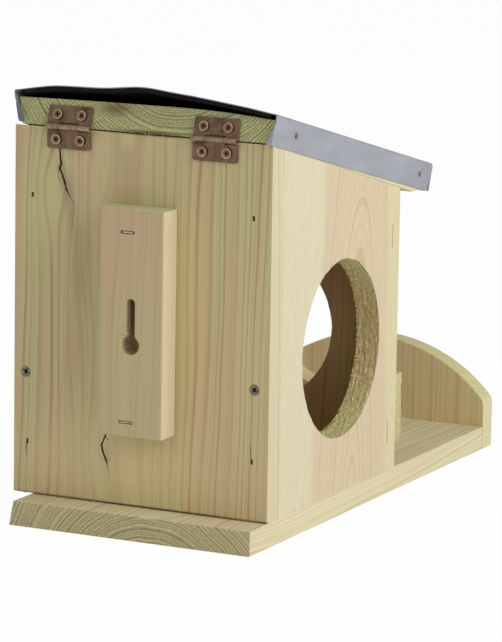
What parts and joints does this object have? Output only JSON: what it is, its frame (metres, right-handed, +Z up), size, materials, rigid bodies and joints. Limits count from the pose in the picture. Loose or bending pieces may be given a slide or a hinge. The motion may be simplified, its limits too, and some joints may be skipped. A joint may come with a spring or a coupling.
{
  "type": "squirrel feeder box",
  "caption": "Softwood squirrel feeder box with a hinged metal-covered lid, large round side holes, a front feeding hole, a platform with an arched end board and a keyhole hanging batten.",
  "frame": {"origin": "on the ground, in the middle of the feeder's footprint box", "axes": "+Z up, +Y from the box towards the feeding platform, +X to the right when looking from the back wall to the platform"},
  "size_m": [0.1844, 0.378, 0.2805],
  "materials": {
    "pine": "bare sawn and planed softwood, pressure treated, with a greenish cast",
    "roofing_felt": "matt black roofing felt",
    "zinc_sheet": "dull zinc grey",
    "coppered_steel": "antique copper plating, satin",
    "coppered_screw": "pale copper plating, worn bright at the rim",
    "dark_steel": "dulled screw steel",
    "bright_steel": "galvanised wire",
    "copper": "weathered copper"
  },
  "bodies": {
    "box": {"base_board": "pine", "back_wall": "pine", "left_side_wall": "pine", "right_side_wall": "pine", "front_wall": "pine", "end_board": "pine", "jar_rest": "pine", "hanging_batten": "pine", "hinge_left_wall_leaf": "coppered_steel", "hinge_right_wall_leaf": "coppered_steel", "hinge_left_pin": "coppered_steel", "hinge_right_pin": "coppered_steel", "hinge_left_wall_screw_1": "coppered_screw", "hinge_left_wall_screw_2": "coppered_screw", "hinge_right_wall_screw_1": "coppered_screw", "hinge_right_wall_screw_2": "coppered_screw", "back_wall_screw_1": "dark_steel", "back_wall_screw_2": "dark_steel", "back_wall_brad_1": "dark_steel", "back_wall_brad_2": "dark_steel", "back_wall_brad_3": "dark_steel", "back_wall_brad_4": "dark_steel", "batten_staple_1": "bright_steel", "batten_staple_2": "bright_steel", "left_side_staple_1": "bright_steel", "left_side_staple_2": "bright_steel", "right_side_staple_1": "bright_steel", "right_side_staple_2": "bright_steel", "base_screw_1": "dark_steel", "base_screw_2": "dark_steel", "base_screw_3": "dark_steel", "base_screw_4": "dark_steel", "base_screw_5": "dark_steel", "base_screw_6": "dark_steel", "jar_rest_screw_1": "dark_steel", "jar_rest_screw_2": "dark_steel", "end_board_nail_1": "bright_steel", "end_board_nail_2": "bright_steel", "end_board_nail_3": "bright_steel"},
    "lid": {"roof_board": "pine", "roof_underlay": "roofing_felt", "roof_sheet": "zinc_sheet", "hinge_left_roof_leaf": "coppered_steel", "hinge_right_roof_leaf": "coppered_steel", "hinge_left_roof_screw_1": "coppered_screw", "hinge_left_roof_screw_2": "coppered_screw", "hinge_right_roof_screw_1": "coppered_screw", "hinge_right_roof_screw_2": "coppered_screw", "sheet_nail_left_1": "copper", "sheet_nail_left_2": "copper", "sheet_nail_right_1": "copper", "sheet_nail_right_2": "copper"}
  },
  "joints": [
    {"name": "lid_hinge", "type": "hinge", "parent": "box", "child": "lid", "pos_m": [0, -0.1681, 0.2525], "axis": [1, 0, 0], "range_deg": [0, 170]}
  ]
}
